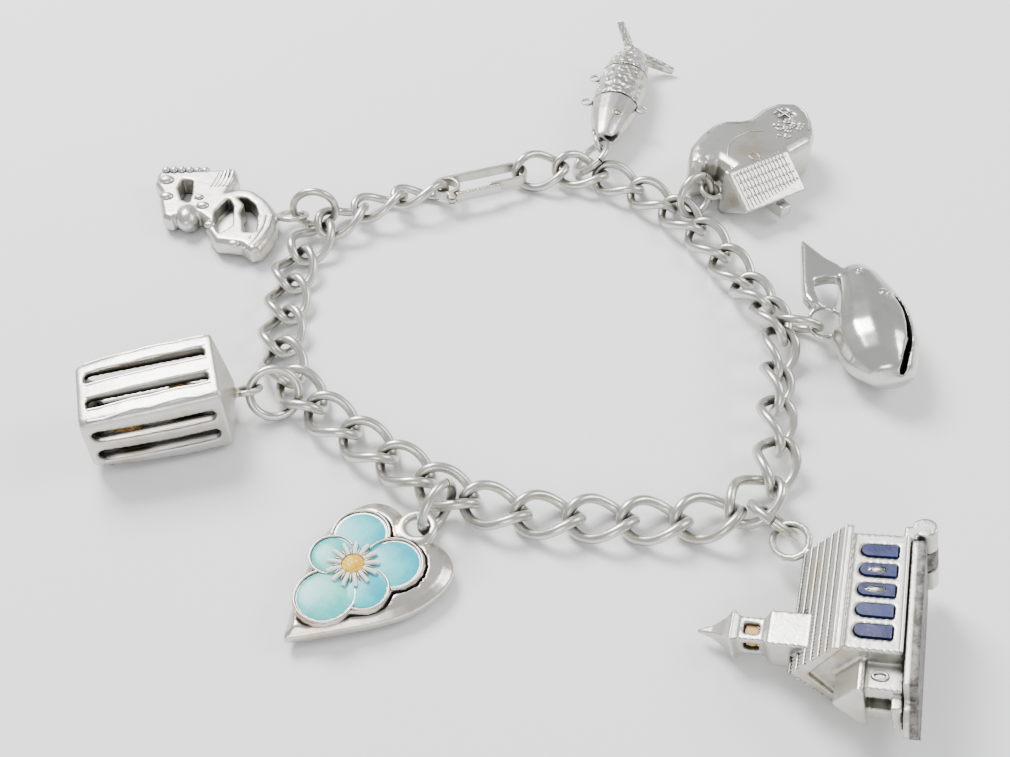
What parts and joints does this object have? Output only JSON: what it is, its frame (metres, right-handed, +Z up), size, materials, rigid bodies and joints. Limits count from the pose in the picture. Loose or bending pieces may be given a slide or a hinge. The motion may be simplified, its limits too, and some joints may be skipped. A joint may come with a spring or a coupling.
{
  "type": "charm bracelet",
  "caption": "Silver curb chain bracelet with a fold-over clasp and cast charms on jump rings: heart, crate, church, whale, shoe, fish and openwork casting.",
  "frame": {"origin": "middle of the lying bracelet's box, on the surface it lies on", "axes": "+Z up from the table; +Y away from the viewer of the picture, along the longest extent; +X to the viewer's right"},
  "size_m": [0.0912, 0.1092, 0.0104],
  "materials": {
    "chain_silver": "polished curb wire, lightly scratched, dark in the crossings",
    "clasp_silver": "worn polish",
    "heart_silver": "polished, warm tarnish at the rims",
    "crate_silver": "satin, dark between the slats",
    "church_silver": "satin, yellow tarnish in the recesses",
    "base_silver": "rough and dark underneath",
    "whale_silver": "polished with small dents",
    "shoe_silver": "satin casting",
    "fish_silver": "satin, chased scales",
    "casting_silver": "satin casting, brown in the hollows",
    "nugget_gold": "rough gilt",
    "flower_blue": "opaque enamel",
    "flower_yellow": "opaque enamel",
    "window_blue": "opaque enamel"
  },
  "bodies": {
    "bracelet": {"chain_link_01": "chain_silver", "chain_link_02": "chain_silver", "chain_link_03": "chain_silver", "chain_link_04": "chain_silver", "chain_link_05": "chain_silver", "chain_link_06": "chain_silver", "chain_link_07": "chain_silver", "chain_link_08": "chain_silver", "chain_link_09": "chain_silver", "chain_link_10": "chain_silver", "chain_link_11": "chain_silver", "chain_link_12": "chain_silver", "chain_link_13": "chain_silver", "chain_link_14": "chain_silver", "chain_link_15": "chain_silver", "chain_link_16": "chain_silver", "chain_link_17": "chain_silver", "chain_link_18": "chain_silver", "chain_link_19": "chain_silver", "chain_link_20": "chain_silver", "chain_link_21": "chain_silver", "chain_link_22": "chain_silver", "chain_link_23": "chain_silver", "chain_link_24": "chain_silver", "chain_link_25": "chain_silver", "chain_link_26": "chain_silver", "chain_link_27": "chain_silver", "chain_link_28": "chain_silver", "chain_link_29": "chain_silver", "chain_link_30": "chain_silver", "chain_link_31": "chain_silver", "chain_link_32": "chain_silver", "casting_ring": "chain_silver", "crate_ring": "chain_silver", "heart_ring": "chain_silver", "church_ring": "chain_silver", "whale_ring": "chain_silver", "shoe_house_ring": "chain_silver", "fish_ring": "chain_silver", "clasp_body": "clasp_silver", "heart": "heart_silver", "heart_flower": "flower_blue", "heart_flower_eye": "flower_yellow", "crate": "crate_silver", "crate_nugget_1": "nugget_gold", "crate_nugget_2": "nugget_gold", "church": "church_silver", "church_window_1": "window_blue", "church_window_2": "window_blue", "church_window_3": "window_blue", "church_window_4": "window_blue", "church_window_5": "window_blue", "whale": "whale_silver", "shoe_house": "shoe_silver", "fish_head": "fish_silver", "fish_body": "fish_silver", "fish_tail": "fish_silver", "casting": "casting_silver"},
    "clasp_lever": {"clasp_lever": "clasp_silver"},
    "church_base": {"church_base": "base_silver"}
  },
  "joints": [
    {"name": "clasp_lever_hinge", "type": "hinge", "parent": "bracelet", "child": "clasp_lever", "pos_m": [-0.00703, 0.02081, 0.0021], "axis": [-0.0029, -0.001, -1], "range_deg": [0, 95]},
    {"name": "church_base_hinge", "type": "hinge", "parent": "bracelet", "child": "church_base", "pos_m": [0.03859, -0.0365, 0.00619], "axis": [-0.2488, 0.0713, 0.9659], "range_deg": [0, 100]}
  ]
}
